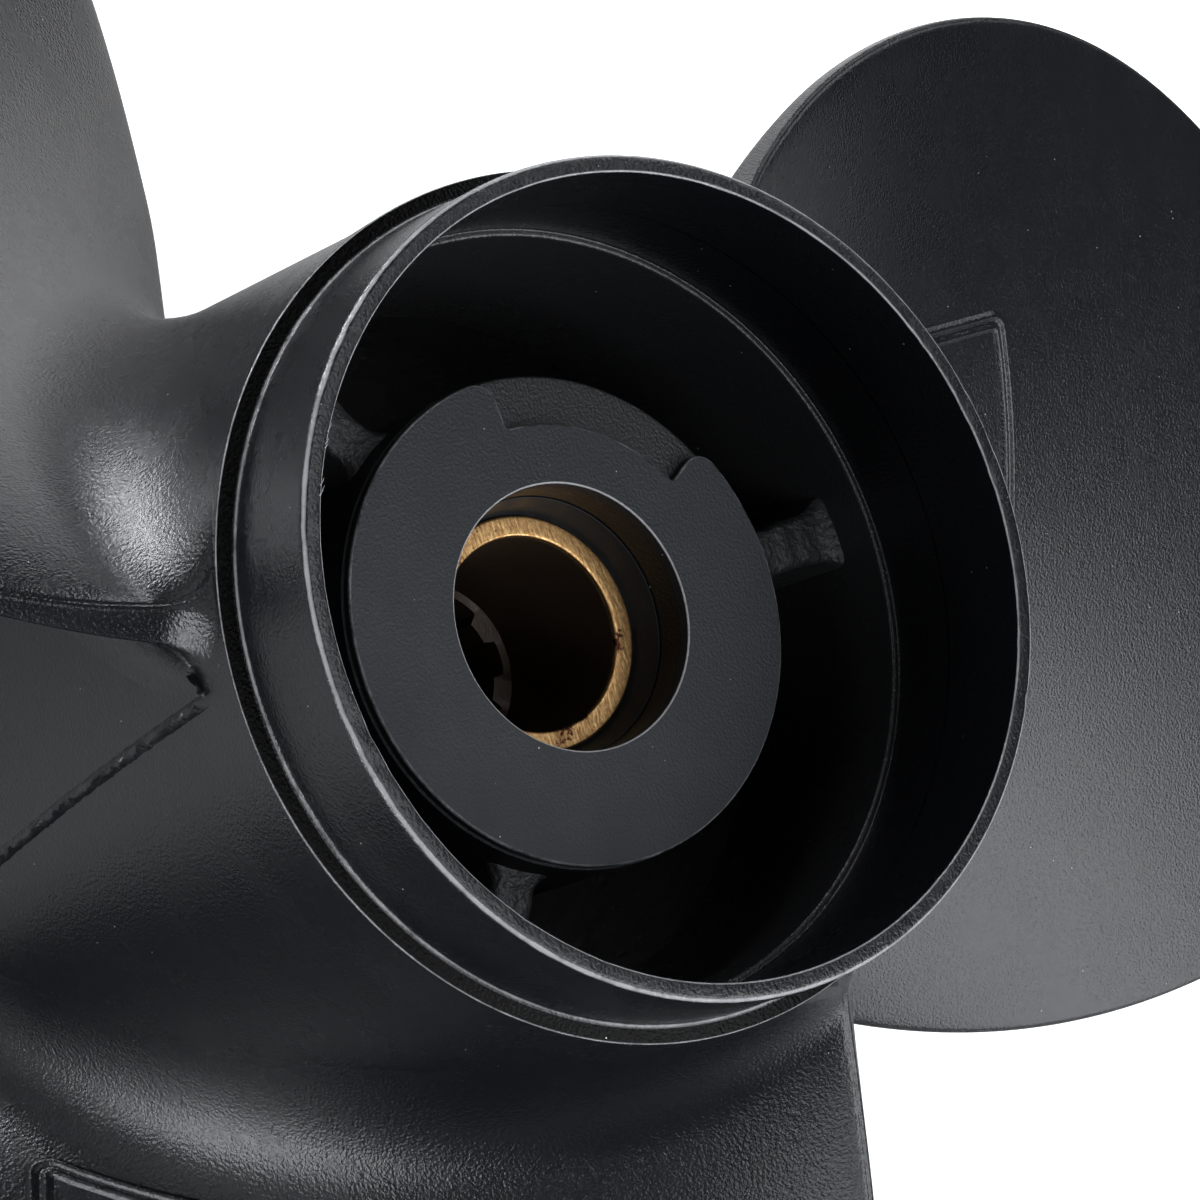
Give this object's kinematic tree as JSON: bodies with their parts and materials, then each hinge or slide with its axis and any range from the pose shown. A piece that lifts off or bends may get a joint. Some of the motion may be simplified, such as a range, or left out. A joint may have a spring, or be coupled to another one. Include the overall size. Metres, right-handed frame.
{
  "type": "outboard motor propeller",
  "caption": "Right-handed three-blade through-hub outboard propeller: cast aluminium barrel and blades, rubber bush and splined brass sleeve.",
  "frame": {"origin": "on the shaft axis, in the plane of the barrel's rear end, where it stands", "axes": "+Z along the shaft axis towards the gearcase end; +Y through the middle of one blade and its rib"},
  "size_m": [0.221, 0.2136, 0.086],
  "materials": {
    "satin_black_paint": "satin black paint over cast aluminium, fine orange peel, bright worn edges",
    "dark_rubber": "matte black rubber",
    "machined_brass": "machined brass, scratched and lightly tarnished"
  },
  "bodies": {
    "root": {"casting": "satin_black_paint", "rubber_bush": "dark_rubber", "splined_sleeve": "machined_brass"}
  },
  "joints": []
}
